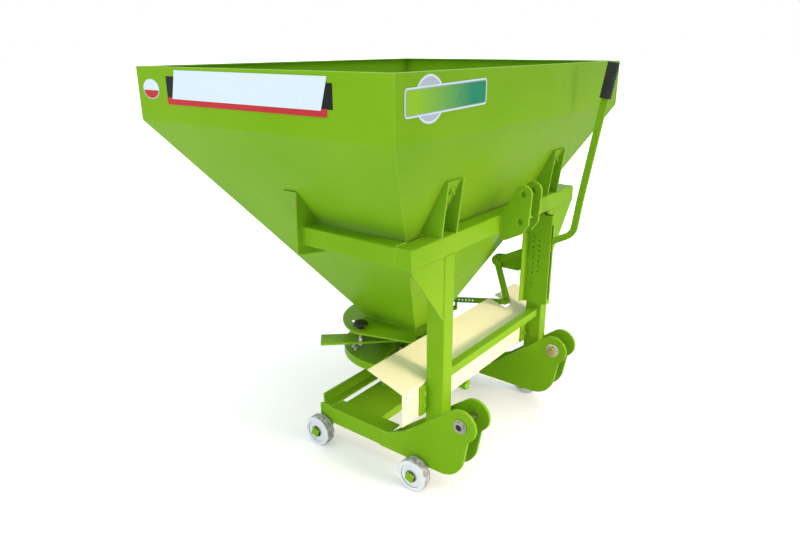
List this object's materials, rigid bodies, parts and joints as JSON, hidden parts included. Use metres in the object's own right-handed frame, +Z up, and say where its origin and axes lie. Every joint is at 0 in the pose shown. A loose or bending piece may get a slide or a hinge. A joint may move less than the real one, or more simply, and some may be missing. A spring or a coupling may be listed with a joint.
{
  "type": "tractor mounted fertilizer spreader",
  "caption": "Three-point mounted spreader: rectangular pyramid hopper on a tube frame, spinning disc under its outlet, lever-worked shutter, small transport rollers.",
  "frame": {"origin": "on the ground, in the middle plane between the hitch cheeks, level with the front face of the two posts", "axes": "+Z up, -Y towards the tractor, +X to the machine's left, the side of the control lever"},
  "size_m": [1.162, 0.9638, 1.1273],
  "materials": {
    "green": "gloss",
    "cream": "satin",
    "casting": "painted",
    "steel": "zinc plated",
    "nylon": "matte",
    "black": "moulded",
    "rubber": "ribbed"
  },
  "bodies": {
    "frame": {"base_rail_left": "green", "base_rail_right": "green", "clamp_knob": "black", "cross_bar": "green", "deflector": "cream", "deflector_clamp_left": "green", "deflector_clamp_right": "green", "front_beam": "green", "front_bracket_left": "green", "front_bracket_right": "green", "gearbox": "casting", "gearbox_tray": "green", "gusset_left": "green", "gusset_right": "green", "hitch_cheek_inner_left": "green", "hitch_cheek_inner_right": "green", "hitch_cheek_outer_left": "green", "hitch_cheek_outer_right": "green", "hitch_pin_left": "steel", "hitch_pin_right": "steel", "hopper": "green", "lever_guide": "green", "lever_pivot_plate": "green", "outlet_band": "green", "post_left": "green", "post_right": "green", "quadrant_plate": "green", "rear_beam": "green", "setting_lever": "green", "shutter_bush": "steel", "side_beam_left": "green", "side_beam_right": "green", "side_bracket_left": "green", "side_bracket_right": "green", "top_link_ear_left": "green", "top_link_ear_right": "green", "wheel_bracket_front_left": "green", "wheel_bracket_front_right": "green", "wheel_bracket_rear_left": "green", "wheel_bracket_rear_right": "green"},
    "spinner": {"spinning_disc": "green", "agitator_spindle": "steel"},
    "input": {"input_shaft": "green"},
    "lever": {"control_lever": "green", "lever_grip": "rubber"},
    "link": {"link_rod": "green"},
    "shutter": {"shutter": "green", "shutter_arm": "green"},
    "wheel_front_left": {"wheel_front_left": "nylon"},
    "wheel_front_right": {"wheel_front_right": "nylon"},
    "wheel_rear_left": {"wheel_rear_left": "nylon"},
    "wheel_rear_right": {"wheel_rear_right": "nylon"}
  },
  "joints": [
    {"name": "spinner_spin", "type": "hinge", "parent": "frame", "child": "spinner", "pos_m": [0, 0.362, 0.244], "axis": [0, 0, 1], "continuous": true},
    {"name": "input_spin", "type": "hinge", "parent": "frame", "child": "input", "pos_m": [0, 0.2, 0.161], "axis": [0, 1, 0], "continuous": true},
    {"name": "lever_swing", "type": "hinge", "parent": "frame", "child": "lever", "pos_m": [0.251, 0.163, 0.496], "axis": [1, 0, 0], "range_deg": [-7, 51]},
    {"name": "link_swing", "type": "hinge", "parent": "lever", "child": "link", "pos_m": [0.242, 0.118, 0.362], "axis": [1, 0, 0], "range_deg": [-55, 8]},
    {"name": "shutter_turn", "type": "hinge", "parent": "frame", "child": "shutter", "pos_m": [0, 0.362, 0.2955], "axis": [0, 0, 1], "range_deg": [-5, 31]},
    {"name": "wheel_front_left_roll", "type": "hinge", "parent": "frame", "child": "wheel_front_left", "pos_m": [0.334, 0.071, 0.047], "axis": [1, 0, 0], "continuous": true},
    {"name": "wheel_front_right_roll", "type": "hinge", "parent": "frame", "child": "wheel_front_right", "pos_m": [-0.334, 0.071, 0.047], "axis": [1, 0, 0], "continuous": true},
    {"name": "wheel_rear_left_roll", "type": "hinge", "parent": "frame", "child": "wheel_rear_left", "pos_m": [0.334, 0.432, 0.047], "axis": [1, 0, 0], "continuous": true},
    {"name": "wheel_rear_right_roll", "type": "hinge", "parent": "frame", "child": "wheel_rear_right", "pos_m": [-0.334, 0.432, 0.047], "axis": [1, 0, 0], "continuous": true}
  ],
  "couplings": [
    {"joint": "input_spin", "follows": "spinner_spin", "ratio": -1},
    {"joint": "link_swing", "follows": "lever_swing", "ratio": -1.06},
    {"joint": "shutter_turn", "follows": "lever_swing", "ratio": 0.585}
  ]
}
